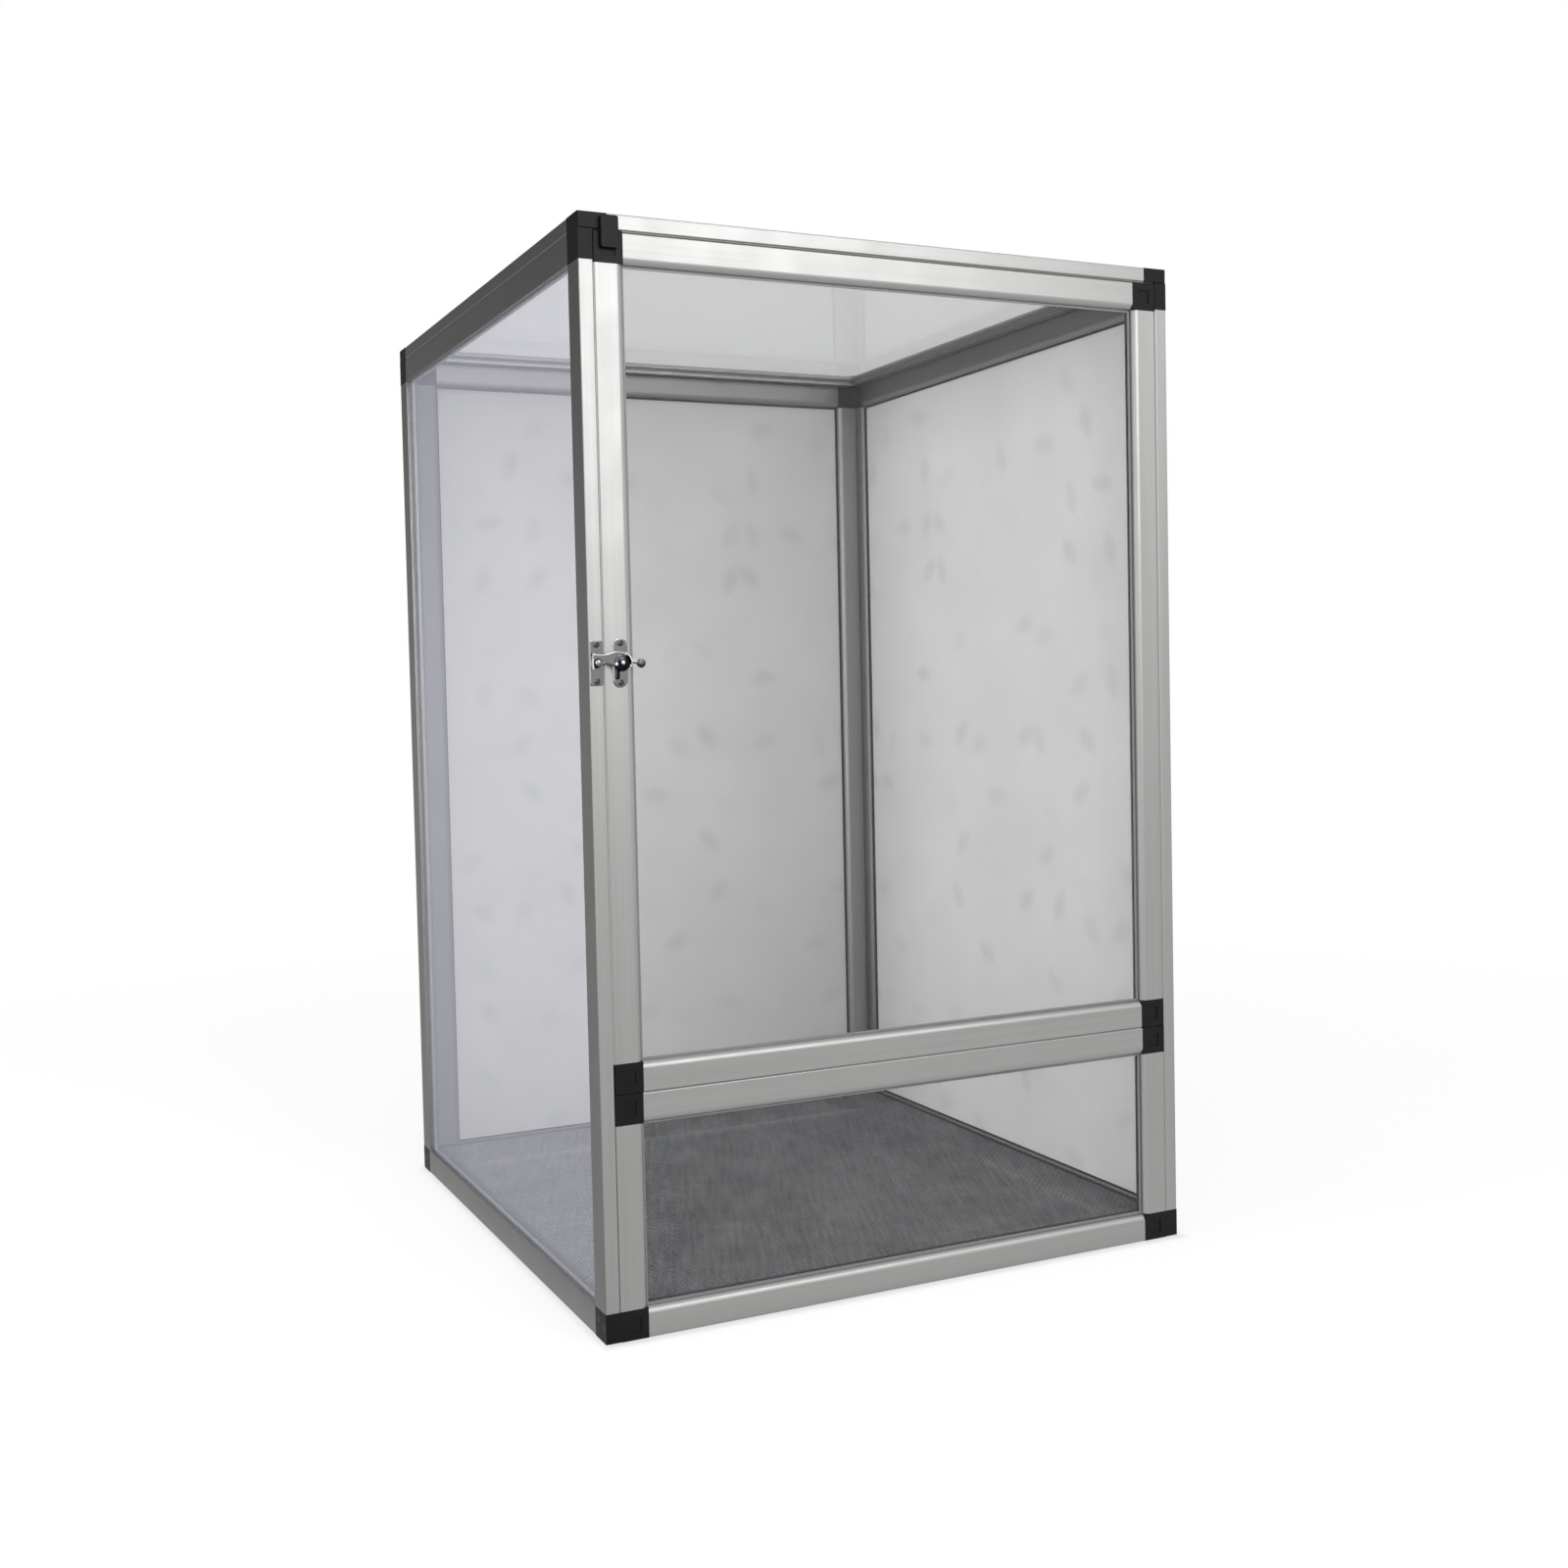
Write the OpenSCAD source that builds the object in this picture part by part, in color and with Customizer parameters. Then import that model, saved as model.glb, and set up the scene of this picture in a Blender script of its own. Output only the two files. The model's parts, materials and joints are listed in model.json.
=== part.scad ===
// Reptile terrarium: flat framed walls of one thin aluminium bar with moulded corner blocks.
// Z is up, the front faces -Y, and the origin is under the middle of the whole part.

/* [Cage] */
// Outside width
cage_w = 510; // [400:5:700]
// Outside depth, without the latch
cage_d = 510; // [400:5:700]
// Outside height
cage_h = 800; // [600:5:1000]

/* [Bar] */
// Width of the bar's face
bar_w = 22; // [20:0.5:26]
// Thickness of the bar
bar_t = 11; // [10.5:0.25:13]
// Wall of the hollow bar
bar_wall = 1.2; // [0.8:0.1:1.5]
// Width of the bevel beside the pane
bevel_w = 4.5; // [2:0.5:6]
// How far the bevel drops
bevel_drop = 2.5; // [1:0.25:3.5]
// Chamfer on the outer edges of bars and corner blocks
edge_cut = 0.6; // [0.2:0.1:0.8]

/* [Panes] */
// Thickness of a pane or board
pane_t = 3; // [2:0.25:3.5]
// From the bevelled face of the bar to the pane
pane_recess = 6; // [5:0.25:6]
// How far a pane reaches into the bars
pane_bite = 4; // [2:0.5:5]
// Free play of a pane in its slot, each side
pane_play = 0.1; // [0.05:0.05:0.2]
// Free depth behind the pane's edge
slot_spare = 0.5; // [0.2:0.1:1]
// Width of the square seal bead
bead = 1.5; // [1:0.25:2.5]

/* [Corner blocks] */
// Length of the leg inside each bar
leg_l = 25; // [15:1:40]
// Free play of a leg in its bar, each side
leg_play = 0.12; // [0.05:0.01:0.25]
// Side of the square pocket moulded in the front blocks
pocket_w = 10.5; // [8:0.5:13]
// Depth of that pocket
pocket_depth = 0.8; // [0.3:0.1:1]

/* [Sill] */
// Height of the fixed front frame below the door
sill_h = 178; // [120:1:260]

/* [Door] */
// Gap between the door and the walls beside it
side_gap = 0.6; // [0.6:0.05:1.2]
// Gap between the door and the lid
top_gap = 1.6; // [0.8:0.1:2]
// Gap between the door and the sill
low_gap = 0.6; // [0.4:0.1:1.6]
// From the door's hinge edge to its pin axis
pin_in = 7.9; // [7.5:0.1:9]
// From the door's front face to its pin axis
pin_back = 2.8; // [2.7:0.05:2.9]
// Diameter of the hinge pins
pin_d = 2.75; // [2.5:0.25:2.75]
// Length of a hinge pin in the door
pin_up = 10; // [8:0.5:14]
// Length of a hinge pin in the frame
pin_down = 8; // [6:0.5:9]
// Radial running clearance of the moving bores
run_fit = 0.05; // [0.02:0.01:0.09]
// Radial clearance of fixed pins and screws
set_fit = 0.02; // [0.01:0.01:0.05]
// Depth left free past the end of a pin
end_play = 0.3; // [0.2:0.1:0.5]

/* [Floor] */
// Space under the floor frame
floor_lift = 9; // [6:0.5:9.5]
// Thickness of the floor's wire mesh
mesh_t = 0.8; // [0.6:0.1:1.2]
// Space between the mesh and the walls
mesh_gap = 0.3; // [0.2:0.1:0.5]
// Width of the strip that holds the mesh down
strip_w = 3; // [2:0.5:5]
// Height of that strip
strip_h = 1.4; // [1:0.1:2]

/* [Screws] */
// Shank diameter of the frame screws
screw_d = 3; // [2.5:0.25:3.25]
// Length of the frame screws
screw_l = 18; // [15:0.5:19]
// Head diameter of the frame screws
screw_head = 6; // [5:0.25:6.5]
// Height of the sunk head
screw_sink = 1.7; // [1.4:0.1:2]

/* [Latch] */
// Height of the latch pivot above the ground
latch_z = 486; // [400:1:520]
// From the door's edge to the pivot
latch_in = 11.9; // [11.5:0.1:12]
// Width of the latch plate
plate_w = 11; // [10:0.25:13]
// Height of the latch plate
plate_h = 35; // [33:0.5:40]
// Thickness of both plates
plate_t = 1.2; // [0.8:0.1:1.5]
// From the pivot to each screw of the latch plate
plate_screw = 14; // [13:0.25:14.5]
// Width of the keeper plate
keeper_w = 10; // [9:0.25:10.5]
// Height of the keeper plate
keeper_h = 32; // [30:0.5:36]
// From the stud to each screw of the keeper plate
keeper_screw = 13; // [12:0.25:13.5]
// Head diameter of the latch screws
small_head = 4.6; // [4:0.1:5]
// Head height of the latch screws
small_head_h = 1.4; // [1:0.1:1.6]
// Shank diameter of the latch screws
small_d = 2.4; // [2:0.1:2.6]
// Shank length of the latch screws
small_l = 7; // [4:0.5:8]
// Thickness of the latch arm
arm_t = 1.8; // [1.4:0.1:2.2]
// Space between the arm and what it sweeps over
arm_gap = 0.4; // [0.3:0.05:0.5]
// Radius of the arm's hub
hub_r = 6.2; // [5.5:0.1:6.4]
// Height of the domed hub above the arm
dome_h = 1.6; // [1.2:0.1:2]
// Diameter of the rivet that the arm turns on
rivet_d = 4; // [3:0.25:4.5]
// Head diameter of the rivet
rivet_head = 6.4; // [6:0.1:7]
// Head height of the rivet
rivet_head_h = 1.6; // [1.2:0.1:2]
// Play between the arm and its plate or rivet
arm_play = 0.15; // [0.1:0.05:0.2]
// Diameter of the keeper's stud
stud_d = 4.8; // [4:0.1:5]
// How far the stud stands out past the arm
stud_past = 1.6; // [0.8:0.1:2.5]
// Space between the stud and the hook
hook_gap = 0.3; // [0.25:0.05:0.4]
// Width of the hook's outer leg
hook_leg = 2.8; // [2:0.1:3]
// Width of the lever
lever_w = 3; // [2.4:0.1:3.4]
// Middle radius of the lever's bend
lever_r = 12; // [11:0.25:13]
// Radius of the ball at the lever's end
ball_r = 3; // [2.4:0.1:3.2]
// How far the ball stands forward of the arm's back
ball_rise = 0.3; // [0.2:0.05:0.5]

/* [Door tab] */
// From the door's latch edge to the middle of the tab
tab_in = 11.2; // [9:0.1:13]
// Width of the tab
tab_w = 13; // [11:0.25:15]
// How far the tab reaches above the door, in front of the lid
tab_up = 10.6; // [6:0.2:11]
// How far the tab reaches down the door's corner block
tab_down = 11.8; // [9:0.2:14]
// Thickness of the tab
tab_t = 3.5; // [2.5:0.1:4]
// Depth of the step that clears the lid
tab_step = 0.3; // [0.2:0.05:0.4]
// Corner radius of the tab
tab_r = 1.5; // [0.5:0.1:2]
// Diameter of the peg on the tab's back
tab_peg_d = 4; // [3:0.25:5]
// Length of that peg
tab_peg_l = 7; // [4:0.5:8]

/* [Hidden] */
$fn = 48;

// The whole part is centred on the origin, so the cage stands half the latch's reach behind it.
arm_stand = plate_t + small_head_h + arm_gap;
arm_front = arm_stand + arm_t;
rivet_seat = arm_front + dome_h + arm_play;
latch_out = max(rivet_seat + rivet_head_h, arm_stand + ball_rise + 2 * ball_r);
front_y = (latch_out - cage_d) / 2;
back_y = front_y + cage_d;
left_x = -cage_w / 2;
right_x = cage_w / 2;

inner_w = cage_w - 2 * bar_t;
inner_d = cage_d - 2 * bar_t;
wall_h = cage_h - bar_t;
door_w = inner_w - 2 * side_gap;
door_z = sill_h + low_gap;
door_h = wall_h - top_gap - door_z;

slot_depth = pane_bite + slot_spare;
slot_low = pane_recess - pane_play;
slot_high = pane_recess + pane_t + pane_play;
room_w = bar_w - slot_depth - 2 * bar_wall;
room_t = bar_t - 2 * bar_wall;

hinge_x = door_w / 2 - pin_in;
hinge_y = front_y + pin_back;
latch_x = latch_in - door_w / 2;
keeper_x = left_x + bar_t / 2;
hook_r = latch_x - keeper_x;
door_top = door_z + door_h;
tab_x = tab_in - door_w / 2;
tab_peg_z = door_top - tab_down / 2;

hook_in = hook_r - stud_d / 2 - hook_gap;
hook_out = hook_r + stud_d / 2 + hook_gap;
hook_edge = hook_out + hook_leg;
// The hook runs from above the stud to a little below it, as angles round the pivot.
hook_top = 150;
hook_end = 191;
// The lever is a short arc that starts in the hub and ends in the ball, just before its centre.
lever_x = 7;
lever_from = 118;
lever_to = 42;
ball_at = 38;
hub_boss_r = 4.8;

tiny = 0.01;

metal = [0.80, 0.81, 0.82];
black = [0.10, 0.10, 0.11];
clear = [0.82, 0.88, 0.92, 0.35];
board = [0.86, 0.86, 0.84];
rubber = [0.06, 0.06, 0.06];
wire = [0.40, 0.41, 0.42];
chrome = [0.86, 0.87, 0.90];

// ---- one bar, seen end on: x from the outer edge to the pane, y from the bevelled face

module bar_section() {
    difference() {
        polygon([
            [edge_cut, 0], [bar_w - bevel_w, 0], [bar_w, bevel_drop], [bar_w, bar_t],
            [edge_cut, bar_t], [0, bar_t - edge_cut], [0, edge_cut]
        ]);
        translate([bar_wall, bar_wall]) square([room_w, room_t]);
        translate([bar_w - slot_depth, slot_low])
            square([slot_depth + 1, slot_high - slot_low]);
    }
}

module bar(length) {
    color(metal) linear_extrude(length) bar_section();
}

// ---- one flat frame w wide and h high: x along it, z up, the bevelled face at y = 0

module frame_low(w) {
    translate([w - bar_w, 0, 0]) rotate([0, -90, 0]) bar(w - 2 * bar_w);
}

module frame_high(w, h) {
    translate([bar_w, 0, h]) rotate([0, 90, 0]) bar(w - 2 * bar_w);
}

module frame_near(h) {
    translate([0, 0, bar_w]) bar(h - 2 * bar_w);
}

module frame_far(w, h) {
    translate([w, 0, 0]) mirror([1, 0, 0]) frame_near(h);
}

module corner_block(pocketed) {
    pocket_at = (bar_w - pocket_w) / 2;
    difference() {
        union() {
            translate([0, bar_t, 0]) rotate([90, 0, 0]) linear_extrude(bar_t)
                polygon([
                    [edge_cut, 0], [bar_w, 0], [bar_w, bar_w], [0, bar_w], [0, edge_cut]
                ]);
            translate([bar_w - tiny, bar_wall + leg_play, bar_wall + leg_play])
                corner_leg([leg_l, room_t, room_w]);
            translate([bar_wall + leg_play, bar_wall + leg_play, bar_w - tiny])
                corner_leg([room_w, room_t, leg_l]);
        }
        translate([bar_w - slot_depth, slot_low, bar_w - slot_depth])
            cube([slot_depth + 1, slot_high - slot_low, slot_depth + 1]);
        if (pocketed)
            translate([pocket_at, -1, pocket_at])
                cube([pocket_w, 1 + pocket_depth, pocket_w]);
    }
}

// A leg takes its play off both sides of the two sizes that the bar bounds.
module corner_leg(size) {
    long = max(size);
    cube([for (s = size) s == long ? s : s - 2 * leg_play]);
}

module frame_corners(w, h, pocketed = false) {
    color(black) for (i = [0, 1], j = [0, 1])
        translate([i * w, 0, j * h]) mirror([i, 0, 0]) mirror([0, 0, j])
            corner_block(pocketed);
}

module frame_panel(w, h, tint) {
    side = bar_w - pane_bite;
    color(tint) translate([side, pane_recess, side])
        cube([w - 2 * side, pane_t, h - 2 * side]);
}

module frame_seal(w, h) {
    color(rubber) translate([0, pane_recess - bead, 0]) difference() {
        translate([bar_w, 0, bar_w]) cube([w - 2 * bar_w, bead, h - 2 * bar_w]);
        translate([bar_w + bead, -1, bar_w + bead])
            cube([w - 2 * (bar_w + bead), bead + 2, h - 2 * (bar_w + bead)]);
    }
}

// ---- where each frame stands; every wall turns its bevelled face inwards,
// ---- the door and the sill turn it to the front, and the lid turns it up

module at_left() {
    translate([left_x + bar_t, front_y, 0]) rotate([0, 0, 90]) children();
}

module at_right() {
    translate([right_x - bar_t, back_y, 0]) rotate([0, 0, -90]) children();
}

module at_back() {
    translate([-inner_w / 2, back_y - bar_t, 0]) children();
}

module at_lid() {
    translate([left_x, front_y, cage_h]) rotate([-90, 0, 0]) children();
}

module at_floor() {
    translate([-inner_w / 2, front_y + bar_t, floor_lift + bar_t])
        rotate([-90, 0, 0]) children();
}

module at_sill() {
    translate([-inner_w / 2, front_y, 0]) children();
}

module at_door() {
    translate([-door_w / 2, front_y, door_z]) children();
}

// Children are drawn flat in x and y, and rise towards the front from the cage's front face.
module on_front(x, z, out = 0) {
    translate([x, front_y - out, z]) rotate([90, 0, 0]) children();
}

// ---- screws that hold the frames together: [x, y, z, direction]

frame_screw_spots = concat(
    [for (s = [-1, 1], y = [front_y + bar_t / 2, back_y - bar_t / 2])
        [s * right_x, y, bar_w / 2, [0, -s * 90, 0]]],
    [for (s = [-1, 1], y = [front_y + 1.5 * bar_t, back_y - 1.5 * bar_t])
        [s * right_x, y, floor_lift + bar_t / 2, [0, -s * 90, 0]]],
    [for (s = [-1, 1])
        [s * right_x, back_y - bar_t / 2, wall_h - bar_w / 2, [0, -s * 90, 0]]],
    [for (s = [-1, 1], y = [front_y + bar_w / 2, back_y - bar_w / 2])
        [s * (right_x - bar_t / 2), y, cage_h, [180, 0, 0]]]
);

module sunk_screw(play) {
    cylinder(h = screw_sink, r1 = screw_head / 2 + play, r2 = screw_d / 2 + play);
    cylinder(h = screw_l + play, r = screw_d / 2 + play);
}

module all_frame_screws(play = 0) {
    for (s = frame_screw_spots)
        translate([s[0], s[1], s[2]]) rotate(s[3]) sunk_screw(play);
}

module frame_screws() {
    color(black) all_frame_screws();
}

// ---- hinge pins: one stands up from the sill into the door, one hangs from the lid

// Each pin reaches up into the door and down into the frame, and crosses the gap between.
module hinge_pair(fit, up, down) {
    for (top = [0, 1]) let (gap = top ? top_gap : low_gap)
        translate([hinge_x, hinge_y, top ? wall_h : sill_h])
            mirror([0, 0, top]) translate([0, 0, -down])
                cylinder(h = down + gap + up, r = pin_d / 2 + fit);
}

module hinge_pins() {
    color(chrome) hinge_pair(0, pin_up, pin_down);
}

module frame_pin_holes() {
    hinge_pair(set_fit, 0, pin_down + set_fit);
}

module door_pin_holes() {
    hinge_pair(run_fit, pin_up + end_play, 0);
}

// ---- left wall: a clear pane

module left_top_rail() { at_left() frame_high(cage_d, wall_h); }
module left_bottom_rail() { at_left() frame_low(cage_d); }
module left_back_post() { at_left() frame_far(cage_d, wall_h); }

module left_front_post() {
    difference() {
        at_left() frame_near(wall_h);
        keeper_holes();
    }
}

module left_corners() {
    difference() {
        at_left() frame_corners(cage_d, wall_h);
        all_frame_screws(set_fit);
    }
}

module left_pane() { at_left() frame_panel(cage_d, wall_h, clear); }
module left_seal() { at_left() frame_seal(cage_d, wall_h); }

// ---- right wall: an opaque board

module right_top_rail() { at_right() frame_high(cage_d, wall_h); }
module right_bottom_rail() { at_right() frame_low(cage_d); }
module right_front_post() { at_right() frame_far(cage_d, wall_h); }
module right_back_post() { at_right() frame_near(wall_h); }

module right_corners() {
    difference() {
        at_right() frame_corners(cage_d, wall_h);
        all_frame_screws(set_fit);
    }
}

module right_board() { at_right() frame_panel(cage_d, wall_h, board); }
module right_seal() { at_right() frame_seal(cage_d, wall_h); }

// ---- back wall: an opaque board between the side walls

module back_top_rail() { at_back() frame_high(inner_w, wall_h); }
module back_bottom_rail() { at_back() frame_low(inner_w); }
module back_left_post() { at_back() frame_near(wall_h); }
module back_right_post() { at_back() frame_far(inner_w, wall_h); }

module back_corners() {
    difference() {
        at_back() frame_corners(inner_w, wall_h);
        all_frame_screws(set_fit);
    }
}

module back_board() { at_back() frame_panel(inner_w, wall_h, board); }
module back_seal() { at_back() frame_seal(inner_w, wall_h); }

// ---- lid: a clear pane over everything

module lid_front_rail() { at_lid() frame_low(cage_w); }
module lid_back_rail() { at_lid() frame_high(cage_w, cage_d); }
module lid_left_rail() { at_lid() frame_near(cage_d); }
module lid_right_rail() { at_lid() frame_far(cage_w, cage_d); }

module lid_corners() {
    difference() {
        at_lid() frame_corners(cage_w, cage_d);
        all_frame_screws(set_fit);
        frame_pin_holes();
    }
}

module lid_pane() { at_lid() frame_panel(cage_w, cage_d, clear); }
module lid_seal() { at_lid() frame_seal(cage_w, cage_d); }

// ---- floor: a flat frame with wire mesh over it, held down by a strip

module floor_front_rail() { at_floor() frame_low(inner_w); }
module floor_back_rail() { at_floor() frame_high(inner_w, inner_d); }
module floor_left_rail() { at_floor() frame_near(inner_d); }
module floor_right_rail() { at_floor() frame_far(inner_w, inner_d); }

module floor_corners() {
    difference() {
        at_floor() frame_corners(inner_w, inner_d);
        all_frame_screws(set_fit);
    }
}

module floor_sheet(low, thick, inset) {
    translate([
        inset - inner_w / 2, front_y + bar_t + inset, floor_lift + bar_t + low
    ])
        cube([inner_w - 2 * inset, inner_d - 2 * inset, thick]);
}

module floor_mesh() {
    color(wire) floor_sheet(0, mesh_t, mesh_gap);
}

module floor_strip() {
    color(rubber) difference() {
        floor_sheet(mesh_t, strip_h, mesh_gap);
        floor_sheet(0, mesh_t + strip_h + 1, mesh_gap + strip_w);
    }
}

// ---- sill: the fixed front frame below the door

module sill_top_rail() { at_sill() frame_high(inner_w, sill_h); }
module sill_bottom_rail() { at_sill() frame_low(inner_w); }
module sill_left_post() { at_sill() frame_near(sill_h); }
module sill_right_post() { at_sill() frame_far(inner_w, sill_h); }

module sill_corners() {
    difference() {
        at_sill() frame_corners(inner_w, sill_h, true);
        all_frame_screws(set_fit);
        frame_pin_holes();
    }
}

module sill_pane() { at_sill() frame_panel(inner_w, sill_h, clear); }
module sill_seal() { at_sill() frame_seal(inner_w, sill_h); }

// ---- door: hinged on the right, latched on the left

module door_top_rail() { at_door() frame_high(door_w, door_h); }
module door_bottom_rail() { at_door() frame_low(door_w); }
module door_hinge_stile() { at_door() frame_far(door_w, door_h); }

module door_latch_stile() {
    difference() {
        at_door() frame_near(door_h);
        small_screws(latch_x, plate_screw, set_fit);
    }
}

module door_corners() {
    difference() {
        at_door() frame_corners(door_w, door_h, true);
        door_pin_holes();
        tab_peg(set_fit);
    }
}

module door_pane() { at_door() frame_panel(door_w, door_h, clear); }
module door_seal() { at_door() frame_seal(door_w, door_h); }

// ---- latch: a plate and a turning hook on the door, a stud on the left wall's edge

// A plate with round ends, drawn flat.
module round_plate(w, h) {
    straight = h - w;
    translate([-w / 2, -straight / 2]) square([w, straight]);
    for (s = [-1, 1]) translate([0, s * straight / 2]) circle(d = w);
}

// Two screws one above the other; with play they are the holes for themselves.
module small_screws(x, apart, play) {
    for (s = [-1, 1]) on_front(x, latch_z + s * apart) {
        translate([0, 0, -small_l]) cylinder(h = small_l + plate_t, d = small_d + 2 * play);
        if (play == 0)
            translate([0, 0, plate_t]) cylinder(h = small_head_h, d = small_head);
    }
}

module keeper_holes() {
    small_screws(keeper_x, keeper_screw, set_fit);
}

module latch_plate() {
    color(chrome) difference() {
        on_front(latch_x, latch_z) linear_extrude(plate_t) difference() {
            round_plate(plate_w, plate_h);
            circle(d = rivet_d + 2 * set_fit);
        }
        small_screws(latch_x, plate_screw, set_fit);
    }
}

module latch_screws() {
    color(chrome) small_screws(latch_x, plate_screw, 0);
}

// A dome of the given base radius and height, standing on z = 0.
module dome(r, h) {
    ball = (r * r + h * h) / (2 * h);
    intersection() {
        translate([0, 0, h - ball]) sphere(r = ball, $fn = 96);
        cylinder(h = h + 1, r = r + 1);
    }
}

module latch_rivet() {
    color(chrome) on_front(latch_x, latch_z) {
        cylinder(h = rivet_seat + tiny, d = rivet_d);
        translate([0, 0, rivet_seat]) dome(rivet_head / 2, rivet_head_h);
    }
}

// The part of a flat shape between two angles round the origin.
module wedge(from, to, reach) {
    mid = (from + to) / 2;
    polygon(concat([[0, 0]],
        [for (a = [from, mid, to]) 2 * reach * [cos(a), sin(a)]]));
}

module hook_shape() {
    difference() {
        intersection() {
            circle(r = hook_edge, $fn = 96);
            wedge(hook_top, hook_end, hook_edge);
        }
        intersection() {
            difference() {
                circle(r = hook_out, $fn = 96);
                circle(r = hook_in, $fn = 96);
            }
            wedge(180, hook_end + 20, hook_edge);
        }
        translate([-hook_r, 0]) circle(r = hook_out - hook_r);
    }
}

module lever_shape() {
    translate([lever_x, -lever_r]) intersection() {
        difference() {
            circle(r = lever_r + lever_w / 2, $fn = 96);
            circle(r = lever_r - lever_w / 2, $fn = 96);
        }
        wedge(lever_to, lever_from, lever_r + lever_w);
    }
}

module latch_arm() {
    ball_x = lever_x + lever_r * cos(ball_at);
    ball_z = lever_r * sin(ball_at) - lever_r;
    color(chrome) on_front(latch_x, latch_z) difference() {
        union() {
            translate([0, 0, arm_stand]) linear_extrude(arm_t) {
                circle(r = hub_r);
                hook_shape();
                lever_shape();
            }
            translate([0, 0, plate_t + arm_play])
                cylinder(h = arm_stand - plate_t, r = hub_boss_r);
            translate([0, 0, arm_front - tiny]) dome(hub_r, dome_h);
            translate([ball_x, ball_z, arm_stand + ball_rise + ball_r])
                sphere(r = ball_r);
        }
        cylinder(h = latch_out, d = rivet_d + 2 * run_fit);
    }
}

module keeper_plate() {
    color(chrome) difference() {
        on_front(keeper_x, latch_z) {
            linear_extrude(plate_t) round_plate(keeper_w, keeper_h);
            cylinder(h = arm_front + stud_past, d = stud_d);
        }
        keeper_holes();
    }
}

module keeper_screws() {
    color(chrome) small_screws(keeper_x, keeper_screw, 0);
}

// ---- door tab: pegged to the door's upper latch corner, it shuts against the lid

module tab_peg(play) {
    on_front(tab_x, tab_peg_z) translate([0, 0, -tab_peg_l - play])
        cylinder(h = tab_peg_l + play + tiny, d = tab_peg_d + 2 * play);
}

module tab_outline() {
    height = tab_up + tab_down;
    translate([0, (tab_up - tab_down) / 2]) {
        square([tab_w, height - 2 * tab_r], center = true);
        square([tab_w - 2 * tab_r, height], center = true);
        for (i = [-1, 1], j = [-1, 1])
            translate([i * (tab_w / 2 - tab_r), j * (height / 2 - tab_r)])
                circle(r = tab_r);
    }
}

module door_tab() {
    color(black) {
        on_front(tab_x, door_top) difference() {
            linear_extrude(tab_t) tab_outline();
            translate([-tab_w, 0, -1]) cube([2 * tab_w, tab_up + 1, 1 + tab_step]);
        }
        tab_peg(0);
    }
}

left_top_rail();
left_bottom_rail();
left_front_post();
left_back_post();
left_corners();
left_pane();
left_seal();
right_top_rail();
right_bottom_rail();
right_front_post();
right_back_post();
right_corners();
right_board();
right_seal();
back_top_rail();
back_bottom_rail();
back_left_post();
back_right_post();
back_corners();
back_board();
back_seal();
lid_front_rail();
lid_back_rail();
lid_left_rail();
lid_right_rail();
lid_corners();
lid_pane();
lid_seal();
floor_front_rail();
floor_back_rail();
floor_left_rail();
floor_right_rail();
floor_corners();
floor_mesh();
floor_strip();
sill_top_rail();
sill_bottom_rail();
sill_left_post();
sill_right_post();
sill_corners();
sill_pane();
sill_seal();
door_top_rail();
door_bottom_rail();
door_latch_stile();
door_hinge_stile();
door_corners();
door_pane();
door_seal();
hinge_pins();
frame_screws();
latch_plate();
latch_screws();
latch_rivet();
latch_arm();
keeper_plate();
keeper_screws();
door_tab();
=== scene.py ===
import json
import math

import bmesh
import bpy
from mathutils import Matrix, Vector


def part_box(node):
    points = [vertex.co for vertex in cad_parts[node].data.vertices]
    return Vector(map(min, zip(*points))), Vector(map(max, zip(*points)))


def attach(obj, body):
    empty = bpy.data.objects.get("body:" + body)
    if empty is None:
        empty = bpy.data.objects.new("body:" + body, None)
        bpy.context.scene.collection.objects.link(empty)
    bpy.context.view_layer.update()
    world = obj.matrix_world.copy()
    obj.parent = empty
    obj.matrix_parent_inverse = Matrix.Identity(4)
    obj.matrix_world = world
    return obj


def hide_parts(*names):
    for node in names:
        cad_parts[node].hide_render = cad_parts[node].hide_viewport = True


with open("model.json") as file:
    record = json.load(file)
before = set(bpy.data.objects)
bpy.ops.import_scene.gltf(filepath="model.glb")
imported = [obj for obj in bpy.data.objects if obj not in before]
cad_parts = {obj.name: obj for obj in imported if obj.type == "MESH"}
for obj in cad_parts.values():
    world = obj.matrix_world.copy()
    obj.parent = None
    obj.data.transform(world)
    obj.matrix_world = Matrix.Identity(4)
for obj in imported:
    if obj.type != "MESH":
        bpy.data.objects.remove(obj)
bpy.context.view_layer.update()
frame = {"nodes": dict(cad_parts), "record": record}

nodes = frame["nodes"]
slotOf = {row["node"]: row["material_slot"] for row in frame["record"]["subparts"]}
mm = 0.001


def toLinear(hexColour):
    channels = [int(hexColour[i:i + 2], 16) / 255 for i in (1, 3, 5)]
    return tuple(c / 12.92 if c <= 0.04045 else ((c + 0.055) / 1.055) ** 2.4
                 for c in channels) + (1.0,)


# A setting is a property of the node, a value for one of its inputs, or a socket that feeds
# that input.
def addNode(tree, kind, settings):
    node = tree.nodes.new(kind)
    for name, value in settings.items():
        if isinstance(name, str) and name not in node.inputs:
            setattr(node, name, value)
        elif isinstance(value, bpy.types.NodeSocket):
            tree.links.new(value, node.inputs[name])
        else:
            node.inputs[name].default_value = value
    return node


def startMaterial(name):
    material = bpy.data.materials.new(name)
    material.use_nodes = True
    tree = material.node_tree
    tree.nodes.clear()
    return material, tree, addNode(tree, "ShaderNodeTexCoord", {}).outputs["Object"]


def finishMaterial(material, settings):
    tree = material.node_tree
    surface = addNode(tree, "ShaderNodeBsdfPrincipled", settings)
    addNode(tree, "ShaderNodeOutputMaterial", {"Surface": surface.outputs[0]})
    return material


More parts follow.
